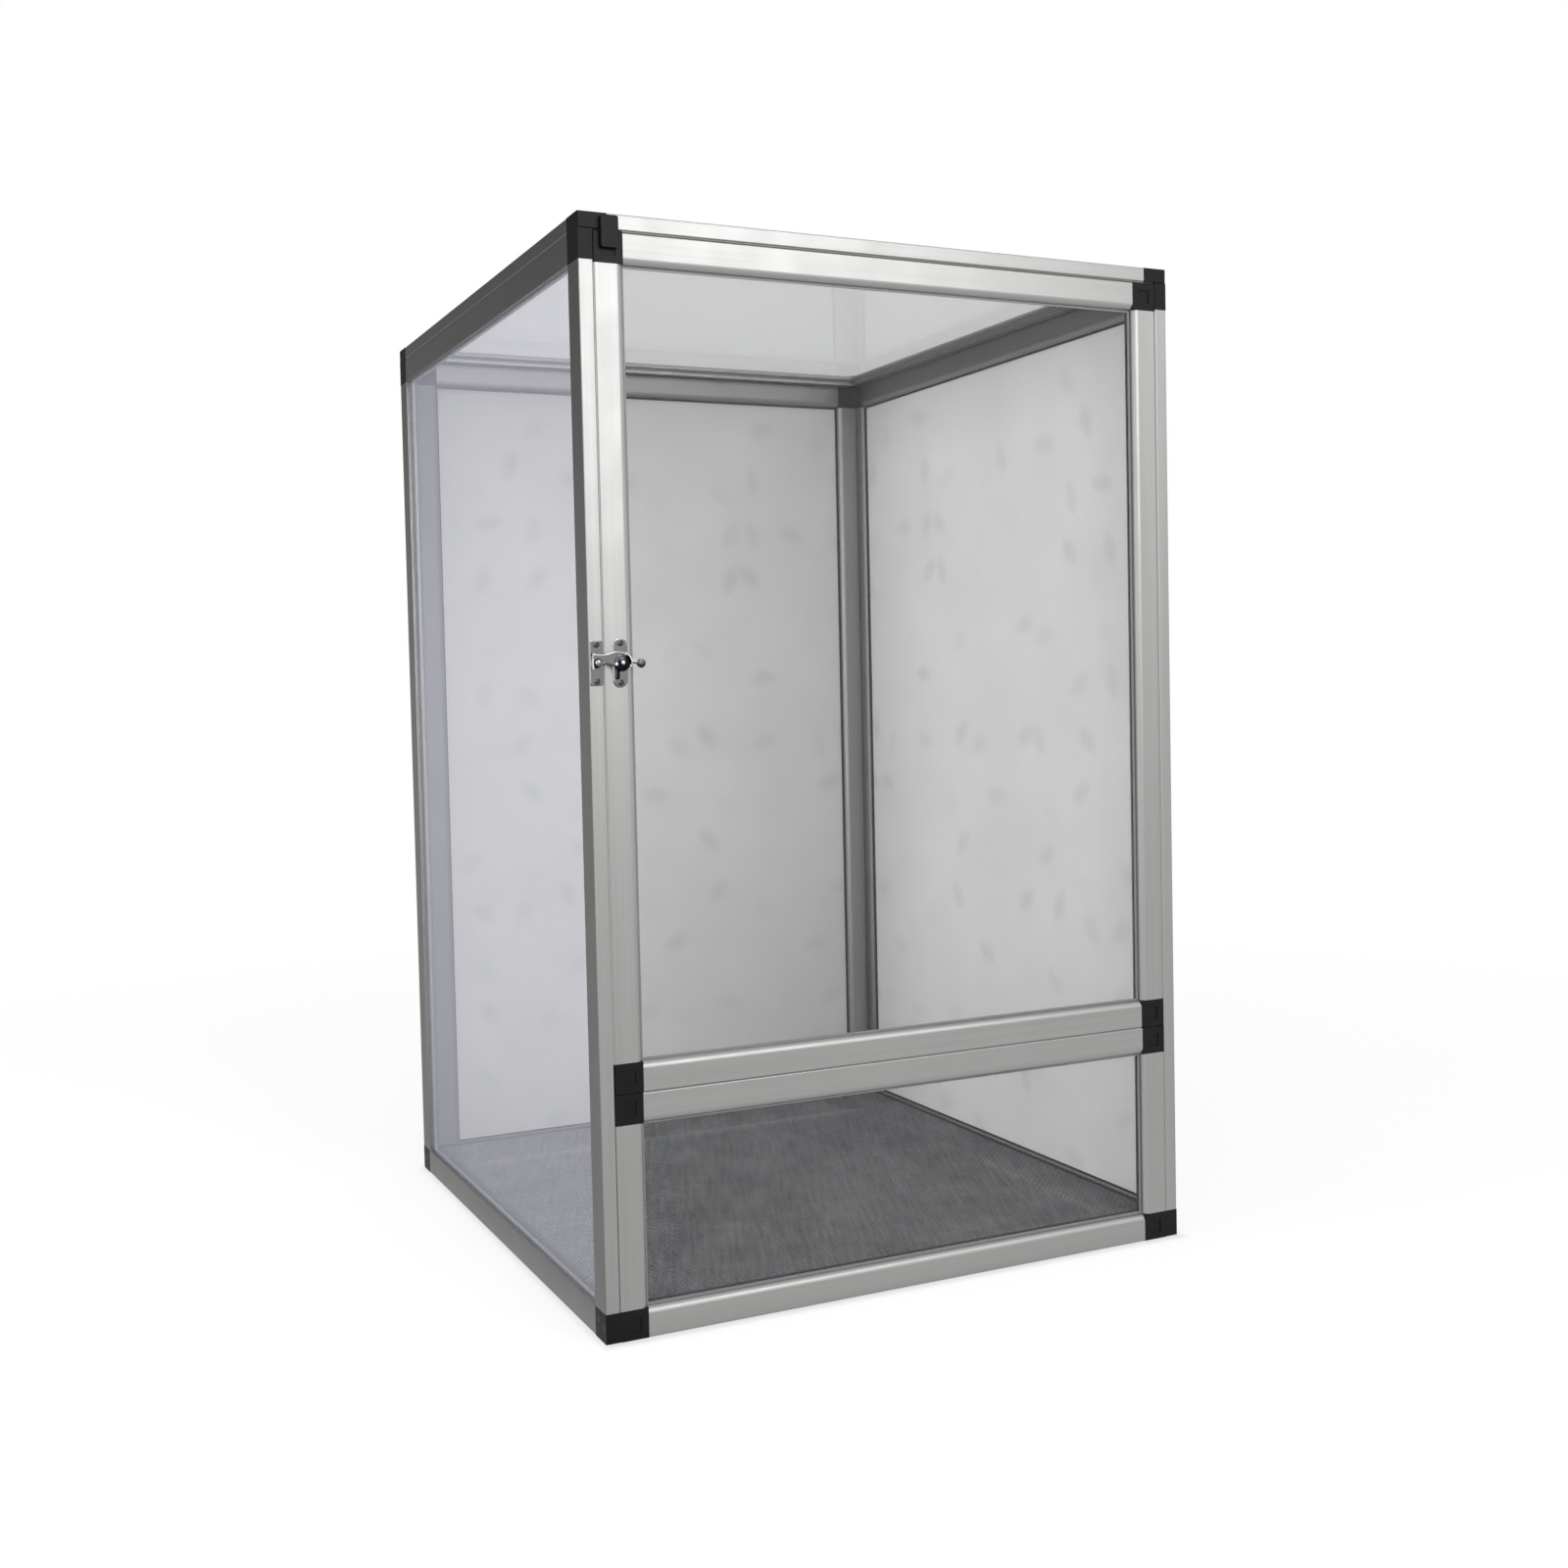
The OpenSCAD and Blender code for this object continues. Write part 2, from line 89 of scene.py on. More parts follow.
# Noise whose patches are as long as size says along each axis.
def patchNoise(tree, place, size, detail):
    spread = addNode(tree, "ShaderNodeMapping", {
        "Scale": [1 / length for length in size], "Vector": place})
    return addNode(tree, "ShaderNodeTexNoise", {
        "Scale": 1.0, "Detail": detail, "Vector": spread.outputs[0]}).outputs["Fac"]


# Clear anodised aluminium, drawn through a die: fine straight lines along the bar
# that stretch every highlight across it.
def drawnAluminium(axis, name, dark, light, dull):
    look = {
        "line": 0.7 * mm,  # real lines are nearer 0.1 mm, too fine to show
        "band": 3.5 * mm,  # slow waves that the die leaves across the face
        "long": 240 * mm,  # how far a line or a band runs
        "bandShare": 0.45, "press": 0.5, "depth": 0.012 * mm,
        "patch": 35.7 * mm, "uneven": 0.06,  # where the bath left it duller or brighter
    }
    material, tree, place = startMaterial(name + "XYZ"[axis])
    line, band = [look["line"]] * 3, [look["band"]] * 3
    line[axis] = band[axis] = look["long"]
    lines = patchNoise(tree, place, line, 3.0)
    both = addNode(tree, "ShaderNodeMix", {
        0: look["bandShare"], 2: lines, 3: patchNoise(tree, place, band, 1.0)})
    tone = addNode(tree, "ShaderNodeMix", {
        "data_type": "RGBA", 0: both.outputs[0], 6: toLinear(dark), 7: toLinear(light)})
    rough = addNode(tree, "ShaderNodeMapRange", {
        "To Min": dull - look["uneven"], "To Max": dull + look["uneven"],
        "Value": patchNoise(tree, place, [look["patch"]] * 3, 2.0)})
    bump = addNode(tree, "ShaderNodeBump", {
        "Strength": look["press"], "Distance": look["depth"], "Height": lines})
    return finishMaterial(material, {
        "Metallic": 1.0, "Base Color": tone.outputs[2], "Roughness": rough.outputs[0],
        "Normal": bump.outputs[0]})


# ABS, injection moulded in a lightly spark-eroded mould: soft sheen over a fine grain,
# with its edges rounded enough to catch a thin light line.
def mouldedAbs():
    look = {"dark": "#0d0d0e", "light": "#161617", "grain": 0.9 * mm, "press": 0.4,
            "depth": 0.02 * mm, "edge": 0.5 * mm}
    material, tree, place = startMaterial("mouldedBlackAbs")
    grain = patchNoise(tree, place, [look["grain"]] * 3, 3.0)
    tone = addNode(tree, "ShaderNodeMix", {
        "data_type": "RGBA", 0: grain, 6: toLinear(look["dark"]), 7: toLinear(look["light"])})
    edges = addNode(tree, "ShaderNodeBevel", {"samples": 4, "Radius": look["edge"]})
    bump = addNode(tree, "ShaderNodeBump", {
        "Strength": look["press"], "Distance": look["depth"], "Height": grain,
        "Normal": edges.outputs[0]})
    return finishMaterial(material, {
        "IOR": 1.54, "Roughness": 0.42, "Specular IOR Level": 0.12,
        "Base Color": tone.outputs[2], "Normal": bump.outputs[0]})


# Clear PVC sheet, extruded and polished: you look straight through it face on,
# and it whitens where you look along it.
def clearPvc(name, tint, faceOn, edgeOn):
    look = {"whitensFrom": 0.35, "wave": 166.7 * mm, "press": 0.1, "depth": 0.2 * mm}
    material, tree, place = startMaterial(name)
    glance = addNode(tree, "ShaderNodeLayerWeight", {"Blend": 0.5})
    haze = addNode(tree, "ShaderNodeMapRange", {
        "From Min": look["whitensFrom"], "From Max": 1.0, "To Min": faceOn, "To Max": edgeOn,
        "Value": glance.outputs["Facing"]})
    bump = addNode(tree, "ShaderNodeBump", {
        "Strength": look["press"], "Distance": look["depth"],
        "Height": patchNoise(tree, place, [look["wave"]] * 3, 1.0)})
    return finishMaterial(material, {
        "IOR": 1.53, "Roughness": 0.06, "Base Color": toLinear(tint),
        "Alpha": haze.outputs[0], "Normal": bump.outputs[0]})


# Foamed PVC board, calendered matt: off-white and slightly cloudy, with a very faint print
# of scattered leaves, each with a paler midrib.
def foamBoard(axis):
    look = {
        "pale": "#d2d2d1", "deep": "#c3c3c2", "leaf": "#a4a5a6", "strength": 0.37,
        "spacing": 54 * mm, "scatter": 0.85,
        "leafLong": 20 * mm, "leafWide": 12 * mm,  # half of it, to where the print is gone
        "fullFrom": 0.1,  # share of the way from the leaf's middle at which it starts to fade
        "rib": (0.02, 0.12), "ribTone": 0.6,  # as shares of its half width
        "chances": (0.15, 0.85),  # the leaves below the first are left out
        "cloud": 71.4 * mm, "grain": 1.11 * mm, "press": 0.2, "depth": 0.03 * mm,
    }
    material, tree, place = startMaterial("foamedPvcBoard" + "XYZ"[axis])
    split = addNode(tree, "ShaderNodeSeparateXYZ", {0: place}).outputs
    flat = addNode(tree, "ShaderNodeCombineXYZ", {
        "X": split["Y" if axis == 0 else "X"], "Y": split["Z"]})
    wide = addNode(tree, "ShaderNodeVectorMath", {
        "operation": "SCALE", 0: flat.outputs[0], "Scale": 1 / look["spacing"]})
    cell = addNode(tree, "ShaderNodeTexVoronoi", {
        "voronoi_dimensions": "2D", "Scale": 1.0, "Randomness": look["scatter"],
        "Vector": wide.outputs[0]})
    local = addNode(tree, "ShaderNodeVectorMath", {
        "operation": "SUBTRACT", 0: wide.outputs[0], 1: cell.outputs["Position"]})
    chance = addNode(tree, "ShaderNodeSeparateColor", {0: cell.outputs["Color"]}).outputs
    turn = addNode(tree, "ShaderNodeMath", {
        "operation": "MULTIPLY", 0: chance[0], 1: 2 * math.pi})
    turned = addNode(tree, "ShaderNodeVectorRotate", {
        "rotation_type": "Z_AXIS", "Vector": local.outputs[0], "Angle": turn.outputs[0]})
    sized = addNode(tree, "ShaderNodeVectorMath", {
        "operation": "MULTIPLY", 0: turned.outputs[0],
        1: (look["spacing"] / look["leafLong"], look["spacing"] / look["leafWide"], 1.0)})
    folded = addNode(tree, "ShaderNodeVectorMath", {
        "operation": "ABSOLUTE", 0: sized.outputs[0]})
    leaf = addNode(tree, "ShaderNodeSeparateXYZ", {0: folded.outputs[0]}).outputs
    off = addNode(tree, "ShaderNodeMath", {
        "operation": "MULTIPLY_ADD", 0: leaf["X"], 1: leaf["X"], 2: leaf["Y"]})
    blade = addNode(tree, "ShaderNodeMapRange", {
        "From Min": 1.0, "From Max": look["fullFrom"], "Value": off.outputs[0]})
    rib = addNode(tree, "ShaderNodeMapRange", {
        "From Min": look["rib"][0], "From Max": look["rib"][1], "To Min": look["ribTone"],
        "Value": leaf["Y"]})
    fade = addNode(tree, "ShaderNodeMapRange", {
        "From Min": look["chances"][0], "From Max": look["chances"][1],
        "To Max": look["strength"], "Value": chance[1]})
    amount = fade.outputs[0]
    for part in (blade, rib):
        amount = addNode(tree, "ShaderNodeMath", {
            "operation": "MULTIPLY", 0: amount, 1: part.outputs[0]}).outputs[0]
    plain = addNode(tree, "ShaderNodeMix", {
        "data_type": "RGBA", 0: patchNoise(tree, place, [look["cloud"]] * 3, 4.0),
        6: toLinear(look["deep"]), 7: toLinear(look["pale"])})
    tone = addNode(tree, "ShaderNodeMix", {
        "data_type": "RGBA", 0: amount, 6: plain.outputs[2], 7: toLinear(look["leaf"])})
    bump = addNode(tree, "ShaderNodeBump", {
        "Strength": look["press"], "Distance": look["depth"],
        "Height": patchNoise(tree, place, [look["grain"]] * 3, 2.0)})
    return finishMaterial(material, {
        "IOR": 1.53, "Roughness": 0.62, "Base Color": tone.outputs[2],
        "Normal": bump.outputs[0]})


# Glass-fibre yarn coated in PVC, woven as insect screen: dull grey threads, each a little
# lighter or darker than the next, with the blotches and streaks of an uneven weave.
def screenThread(axis):
    look = {"dark": "#444547", "light": "#6e6f70", "lane": 3.0 * mm, "laneLong": 333 * mm,
            "blotch": 38 * mm, "streak": 3.6 * mm, "streakLong": 60 * mm, "turn": 23.0,
            "shares": (0.18, 0.4, 0.42), "contrast": (0.36, 0.64)}
    material, tree, place = startMaterial("wovenScreenThread" + "XYZ"[axis])
    lane = [look["lane"]] * 3
    lane[axis] = look["laneLong"]
    turned = addNode(tree, "ShaderNodeVectorRotate", {
        "rotation_type": "Z_AXIS", "Angle": math.radians(look["turn"]), "Vector": place})
    parts = (patchNoise(tree, place, lane, 1.0),
             patchNoise(tree, place, [look["blotch"]] * 3, 3.0),
             patchNoise(tree, turned.outputs[0], (look["streak"], look["streakLong"], 1.0), 2.0))
    total = 0.0
    for part, share in zip(parts, look["shares"]):
        total = addNode(tree, "ShaderNodeMath", {
            "operation": "MULTIPLY_ADD", 0: part, 1: share, 2: total}).outputs[0]
    spread = addNode(tree, "ShaderNodeMapRange", {
        "From Min": look["contrast"][0], "From Max": look["contrast"][1], "Value": total})
    tone = addNode(tree, "ShaderNodeMix", {
        "data_type": "RGBA", 0: spread.outputs[0], 6: toLinear(look["dark"]),
        7: toLinear(look["light"])})
    return finishMaterial(material, {
        "IOR": 1.53, "Roughness": 0.6, "Base Color": tone.outputs[2]})


# A plain surface with an uneven bloom, lighter and darker over patches of the given size.
def bloomedSurface(name, dark, light, patch, settings):
    material, tree, place = startMaterial(name)
    tone = addNode(tree, "ShaderNodeMix", {
        "data_type": "RGBA", 0: patchNoise(tree, place, [patch] * 3, 2.0),
        6: toLinear(dark), 7: toLinear(light)})
    return finishMaterial(material, {**settings, "Base Color": tone.outputs[2]})


# Soft PVC, extruded as a bead: dull, with a slightly uneven bloom.
def softPvc(name, dark, light):
    return bloomedSurface(name, dark, light, 6.25 * mm, {"IOR": 1.52, "Roughness": 0.4})


# Polished plating on zinc or steel with a painted reflection: its base colour is painted lighter
# or darker by the way a face turns, for a bright ceiling above and a dark bench below; fingers
# leave it smeared a little.
def paintedReflectionPlating(name, low, middle, high, rough):
    look = {"bright": (-0.6, 0.0, 0.8), "smear": 0.2, "finger": 3.846 * mm,
            "stops": (0.1, 0.42, 0.55, 0.92)}
    material, tree, place = startMaterial(name)
    # painted reflection: how far the face turns towards the bright way, up and to the left, sets
    # its tone
    facing = addNode(tree, "ShaderNodeVectorMath", {
        "operation": "DOT_PRODUCT", 1: look["bright"],
        0: addNode(tree, "ShaderNodeNewGeometry", {}).outputs["Normal"]})
    smear = patchNoise(tree, place, [look["finger"]] * 3, 2.0)
    uneven = addNode(tree, "ShaderNodeMath", {
        "operation": "MULTIPLY_ADD", 0: smear, 1: look["smear"], 2: facing.outputs["Value"]})
    share = addNode(tree, "ShaderNodeMapRange", {
        "From Min": look["smear"] / 2 - 1, "From Max": look["smear"] / 2 + 1,
        "Value": uneven.outputs[0]})
    # the painted reflection's tones, low for faces turned away, high for faces turned towards the
    # bright way
    ramp = addNode(tree, "ShaderNodeValToRGB", {"Fac": share.outputs[0]})
    stops = ramp.color_ramp.elements
    for position in look["stops"][1:3]:
        stops.new(position)
    for stop, position, tone in zip(stops, look["stops"], (low, middle, middle, high)):
        stop.position, stop.color = position, toLinear(tone)
    polish = addNode(tree, "ShaderNodeMapRange", {
        "To Min": rough[0], "To Max": rough[1], "Value": smear})
    return finishMaterial(material, {
        "Metallic": 1.0, "Base Color": ramp.outputs[0], "Roughness": polish.outputs[0]})


aluminium = [drawnAluminium(axis, "drawnAnodisedAluminium", "#8f8f8e", "#a1a1a0", 0.42)
             for axis in range(3)]
# the same bar painted darker round the back board: painted shade, for the shade it stands in
# there
paintedShadeAluminium = [drawnAluminium(axis, "drawnAluminiumPaintedShade", "#7e7e7d", "#8f8f8e", 0.42)
                 for axis in range(3)]
# and painted darker still, and rougher, in the back's left corner: painted shade
paintedDeepShadeAluminium = [drawnAluminium(axis, "drawnAluminiumPaintedDeepShade", "#727375", "#808183", 0.62)
                   for axis in range(3)]
blackPlastic = mouldedAbs()
frontPane = clearPvc("clearPvcSheet", "#eceef4", 0.02, 0.30)
sidePane = clearPvc("clearPvcSheetLilac", "#d6d7e4", 0.03, 0.30)
# the lid's sheet is seen almost edge on and carries more haze
lidPane = clearPvc("clearPvcSheetHazed", "#b2b4b9", 0.08, 0.50)
boards = {axis: foamBoard(axis) for axis in (0, 1)}
threads = [screenThread(axis) for axis in (0, 1)]
# EPDM rubber, extruded as a bead: black and dull
rubber = bloomedSurface("extrudedEpdmRubber", "#1b1b1c", "#2a2a2b", 4.545 * mm,
                        {"IOR": 1.5, "Roughness": 0.7})
greyVinyl = softPvc("extrudedGreyPvcBead", "#75787b", "#878a8d")
# soft PVC beads only for the seams round the door: their greys are painted shade of the seams
seamShadeGrey = softPvc("paintedSeamShadeGrey", "#8b8b8b", "#9b9b9b")
seamShadeLightGrey = softPvc("paintedSeamShadeLightGrey", "#a6a6a6", "#b4b4b4")
seamShadePale = softPvc("paintedSeamShadePale", "#c4c4c4", "#d2d2d2")
seamShadeDark = softPvc("paintedSeamShadeDark", "#676961", "#777970")
# bright chrome with painted reflection: hard white painted highlights beside dark ones
chrome = paintedReflectionPlating("chromePlatePaintedReflection", "#1d1d1f", "#7b7b7c", "#f2f2f2", (0.10, 0.16))
# bright zinc with painted reflection, duller and darker than the chrome round it, on the screws
# and the lever's ball; on the ball the darker tone is a painted dark reflection
screwZincAndPaintedBall = paintedReflectionPlating("zincPlateAndPaintedBall", "#161617", "#4c4b4c", "#969698", (0.12, 0.20))
# plating painted brighter than the castings, a painted highlight: on the rivet's filed and
# polished end, and on the arm's rim, collar and pin
paintedHighlightPlating = paintedReflectionPlating("platingPaintedHighlight", "#b4b4b7", "#d2d2d5", "#f8f8f8",
                              (0.14, 0.22))
# plating painted almost black, painted dark reflection and shade on the hub's cap, the plate's
# rib and the ring round the stud, with the lamps as small hard dots
paintedDarkPlating = paintedReflectionPlating("platingPaintedDark", "#09090b", "#1c1b20", "#85858f",
                             (0.08, 0.14))
# steel with black oxide, tumbled: nearly black with a low oily sheen
blackSteel = bloomedSurface("blackOxideSteel", "#2b2b2d", "#3c3c3e", 2.0 * mm,
                            {"Metallic": 1.0, "Roughness": 0.4})
print("materials made")


# Joins rings of points, each as long as the next, into a closed skin.
def loft(shape, rings, material=0):
    points, faces, tints = shape
    start, count = len(points), len(rings[0])
    for ring in rings:
        points.extend(ring)
    for step in range(len(rings) - 1):
        here = start + step * count
        for k in range(count):
            n = (k + 1) % count
            faces.append((here + k, here + n, here + count + n, here + count + k))
    last = start + (len(rings) - 1) * count
    faces.append(tuple(range(start + count - 1, start - 1, -1)))
    faces.append(tuple(range(last, last + count)))
    tints.extend([material] * (len(faces) - len(tints)))


# A mesh of that skin, with every face turned outward.
def skinMesh(name, shape):
    mesh = bpy.data.meshes.new(name)
    mesh.from_pydata(shape[0], [], shape[1])
    for face, tint in zip(mesh.polygons, shape[2]):
        face.material_index = tint
    work = bmesh.new()
    work.from_mesh(mesh)
    bmesh.ops.recalc_face_normals(work, faces=work.faces)
    work.to_mesh(mesh)
    work.free()
    return mesh


def makePiece(name, shape, materials, body, stands=(), sharp=40.0):
    mesh = skinMesh(name, shape)
    for face in mesh.polygons:
        face.use_smooth = True
    mesh.set_sharp_from_angle(angle=math.radians(sharp))
    for face in mesh.polygons:
        if len(face.vertices) > 4:
            face.use_smooth = False  # end faces stay flat
    for material in materials:
        mesh.materials.append(material)
    piece = bpy.data.objects.new(name, mesh)
    bpy.context.collection.objects.link(piece)
    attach(piece, body)
    if stands:
        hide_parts(*stands)
    return piece


def arc(centre, radii, start, end, steps):
    turns = [math.radians(start + (end - start) * k / steps) for k in range(steps + 1)]
    return [(centre[0] + radii[0] * math.cos(t), centre[1] + radii[1] * math.sin(t))
            for t in turns]


# The bars are one extruded section, with a round shoulder beside the pane.
bar = {
    "edge": 0.8 * mm,  # radius of the two outer edges
    "shoulder": (5.0 * mm, 3.2 * mm),  # how wide and how deep it falls
    "shoulderTurn": (3.6 * mm, 0.5 * mm),  # where the lines of its two ends would cross
    "shoulderSteps": 8,
    "lip": 0.4 * mm,
    "slot": (5.9 * mm, 9.1 * mm, 4.5 * mm),  # from, to, depth
    "flat": 0.3 * mm,  # keeps the shading of a flat face flat
}
# the axis a wall is thin along, and the side of it that carries the shoulders
bevelledSide = {"left": (0, 1), "right": (0, -1), "back": (1, -1), "lid": (2, 1),
                "floor": (2, 1), "sill": (1, -1), "door": (1, -1)}


def barSection(wide, thick):
    e, lip, flat = bar["edge"], bar["lip"], bar["flat"]
    across, deep = bar["shoulder"]
    aside, down = bar["shoulderTurn"]
    low, high, inward = bar["slot"]
    section = arc((e, e), (e, e), 180, 270, 4)
    section += [(e + flat, 0), (wide - across - flat, 0)]
    for k in range(bar["shoulderSteps"] + 1):
        t = k / bar["shoulderSteps"]
        section.append((wide - across + 2 * t * (1 - t) * aside + t * t * across,
                        2 * t * (1 - t) * down + t * t * deep))
    section += [(wide, deep + flat), (wide, low), (wide - inward, low),
                (wide - inward, high), (wide, high), (wide, thick - lip - flat)]
    section += arc((wide - lip, thick - lip), (lip, lip), 0, 90, 2)
    section += [(wide - lip - flat, thick), (e + flat, thick)]
    section += arc((e, thick - e), (e, e), 90, 180, 4)
    return section + [(0, thick - e - flat), (0, e + flat)]


def drawBar(name):
    low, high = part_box(name)
    size = [high[i] - low[i] for i in range(3)]
    wall = name.split("_")[0]
    thin, side = bevelledSide[wall]
    long = size.index(max(size))
    wide = 3 - thin - long
    members = [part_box(other) for other in nodes
               if other.startswith(wall + "_") and slotOf[other] == "anodised_aluminium"]
    middle = (min(box[0][wide] for box in members) + max(box[1][wide] for box in members)) / 2
    inward = 1 if (low[wide] + high[wide]) / 2 < middle else -1
    rings = []
    for reach in (low[long], high[long]):
        ring = []
        for u, v in barSection(size[wide], size[thin]):
            point = [0, 0, 0]
            point[long] = reach
            point[wide] = low[wide] + u if inward > 0 else high[wide] - u
            point[thin] = high[thin] - v if side > 0 else low[thin] + v
            ring.append(tuple(point))
        rings.append(ring)
    shape = ([], [], [])
    loft(shape, rings)
    finish = aluminium
    # the back's left post, the right wall's back post and the back's bars along x take the darker
    # copies: painted shade
    if name == "back_left_post":
        finish = paintedDeepShadeAluminium
    elif name == "right_back_post" or (wall == "back" and long == 0):
        finish = paintedShadeAluminium
    makePiece(name + "_bar", shape, [finish[long]], "door" if wall == "door" else "cage",
              [name])


barNames = [name for name in nodes if slotOf[name] == "anodised_aluminium"]
for name in barNames:
    drawBar(name)
print("bars drawn:", len(barNames))


# Beads in the seams round the door. The colour of each one is painted shade: it sets how dark its
# seam looks, pale at the left, greyer at the right and below, and dark under the lid, standing
# for the shadow in the gap.
seam = {
    "behind": 0.55 * mm, "deep": 1.0 * mm,  # from the front face, and its own depth
    "left": 0.45 * mm, "right": 0.36 * mm, "low": 0.35 * mm, "top": 1.1 * mm,  # thickness
    "rightBehind": 0.35 * mm,
    "topBehind": 0.9 * mm, "topDeep": 0.45 * mm,
}


def layBead(name, low, high, material, body):
    shape = ([], [], [])
    loft(shape, [[(low[0], low[1], z), (high[0], low[1], z), (high[0], high[1], z),
                  (low[0], high[1], z)] for z in (low[2], high[2])])
    makePiece(name, shape, [material], body)


def layBeads():
    stile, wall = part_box("door_latch_stile"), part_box("right_front_post")
    rail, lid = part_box("door_bottom_rail"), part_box("lid_front_rail")
    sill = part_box("sill_top_rail")
    near = stile[0][1] + seam["behind"]
    far = near + seam["deep"]
    back = stile[0][1] + seam["topBehind"]
    layBead("seam_shade_bead_left", (stile[0][0] - seam["left"], near, stile[0][2]),
            (stile[0][0], far, stile[1][2]), seamShadePale, "door")
    layBead("seam_shade_bead_right",
            (wall[0][0] - seam["right"], stile[0][1] + seam["rightBehind"], stile[0][2]),
            (wall[0][0], far, stile[1][2]), seamShadeLightGrey, "cage")
    layBead("seam_shade_bead_low", (rail[0][0], near, sill[1][2]),
            (rail[1][0], far, sill[1][2] + seam["low"]), seamShadeGrey, "cage")
    layBead("seam_shade_bead_top", (rail[0][0], back, lid[0][2] - seam["top"]),
            (lid[1][0], back + seam["topDeep"], lid[0][2]), seamShadeDark, "cage")
    layBead("seam_shade_bead_corner", (lid[1][0], back, lid[0][2] - seam["top"]),
            (-stile[0][0], back + seam["topDeep"], lid[0][2]), rubber, "cage")


layBeads()
print("beads laid")


# The CAD pieces that keep their shape get their finish.
finishes = {"black_plastic": blackPlastic, "rubber_seal": rubber, "chromed_steel": chrome,
            "blackened_steel": blackSteel}
for name, piece in nodes.items():
    low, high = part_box(name)
    size = [high[i] - low[i] for i in range(3)]
    material = finishes.get(slotOf[name])
    if slotOf[name] == "clear_pane":
        material = {"left_pane": sidePane, "lid_pane": lidPane}.get(name, frontPane)
    elif slotOf[name] == "white_board":
        material = boards[size.index(min(size))]
    elif name in ("door_seal", "sill_seal", "left_seal"):
        material = greyVinyl
    if material:
        piece.data.materials.clear()
        piece.data.materials.append(material)
print("CAD pieces dressed")


# The floor's screen, woven over and under.
def weaveScreen():
    screen = {
        "pitch": 3.0 * mm,  # real screen is nearer 1.5 mm, too fine to show
        "thread": 1.05 * mm,  # half the width of a thread
        "lift": 0.12 * mm,  # how far it rises over the next
        "flat": 0.26 * mm,  # half its height, pressed flat
    }
    low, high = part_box("floor_mesh")
    middle = (low[2] + high[2]) / 2
    shape = ([], [], [])
    for along in (0, 1):
        across = 1 - along
        lanes = int((high[across] - low[across]) / screen["pitch"])
        steps = int((high[along] - low[along]) / screen["pitch"])
        laneGap = (high[across] - low[across] - 2 * screen["thread"]) / (lanes - 1)
        stepGap = (high[along] - low[along]) / (steps - 1)
        for lane in range(lanes):
            side = low[across] + screen["thread"] + lane * laneGap
            rings = []
            for step in range(steps):
                over = 1 if (lane + step + along) % 2 else -1
                ring = []
                for u, v in ((-1, 0), (0, 1), (1, 0), (0, -1)):
                    point = [0, 0, middle + over * screen["lift"] + v * screen["flat"]]
                    point[along] = low[along] + step * stepGap
                    point[across] = side + u * screen["thread"]
                    ring.append(tuple(point))
                rings.append(ring)
            loft(shape, rings, along)
    makePiece("floor_screen", shape, threads, "cage", ["floor_mesh"], 180.0)


weaveScreen()
print("floor screen woven")


# The latch and its screws are drawn in millimetres on the cage's face.
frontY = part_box("left_front_post")[0][1]
pivot = (-231.5, 486.0)
studAt = (-249.5, 486.0)
sunk = 0.1  # how far one form is let into the next


# From millimetres on the face (x, z, how far out of it) to the scene.
def onFront(x, z, out):
    return (x * mm, frontY - out * mm, z * mm)


# A flat shape standing on the face between two heights, its front edge rounded: in by the
# first length of edge and down by the second.
def pressShape(shape, outline, at, low, high, edge, steps=4, material=0):
    count = len(outline)
    inward = []
    for k in range(count):
        before, here, after = (Vector(outline[(k + d) % count]) for d in (-1, 0, 1))
        first, second = (here - before).normalized(), (after - here).normalized()
        mitre = (Vector((-first.y, first.x)) + Vector((-second.y, second.x))) / 2
        inward.append(mitre / max(mitre.length_squared, 0.5))
    rings = [[onFront(at[0] + x, at[1] + z, low) for x, z in outline]]
    for step in range(steps + 1):
        turn = math.pi / 2 * step / steps
        inset = edge[0] * (1 - math.cos(turn))
        out = high - edge[1] * (1 - math.sin(turn))
        rings.append([onFront(at[0] + x + inset * n.x, at[1] + z + inset * n.y, out)
                      for (x, z), n in zip(outline, inward)])
    loft(shape, rings, material)


# A turned shape about an axis that points out of the face.
def turnShape(shape, at, profile, sides=32, material=0):
    loft(shape, [[onFront(at[0] + radius * math.cos(2 * math.pi * k / sides),
                          at[1] + radius * math.sin(2 * math.pi * k / sides), out)
                  for k in range(sides)] for radius, out in profile], material)


# Heights of a dome of the given base radius and rise, from its rim to its crown.
def domeProfile(radius, rise, base, steps=8):
    ball = (radius ** 2 + rise ** 2) / (2 * rise)
    widest = math.asin(radius / ball)
    turns = [widest * (1 - k / steps) for k in range(steps)] + [widest * 0.02]
    return [(ball * math.sin(t), base + rise - ball + ball * math.cos(t)) for t in turns]


# An outline with straight sides and round ends.
def roundEnded(half, straight, steps):
    return arc((0, straight), (half, half), 0, 180, steps) \
        + arc((0, -straight), (half, half), 180, 360, steps)


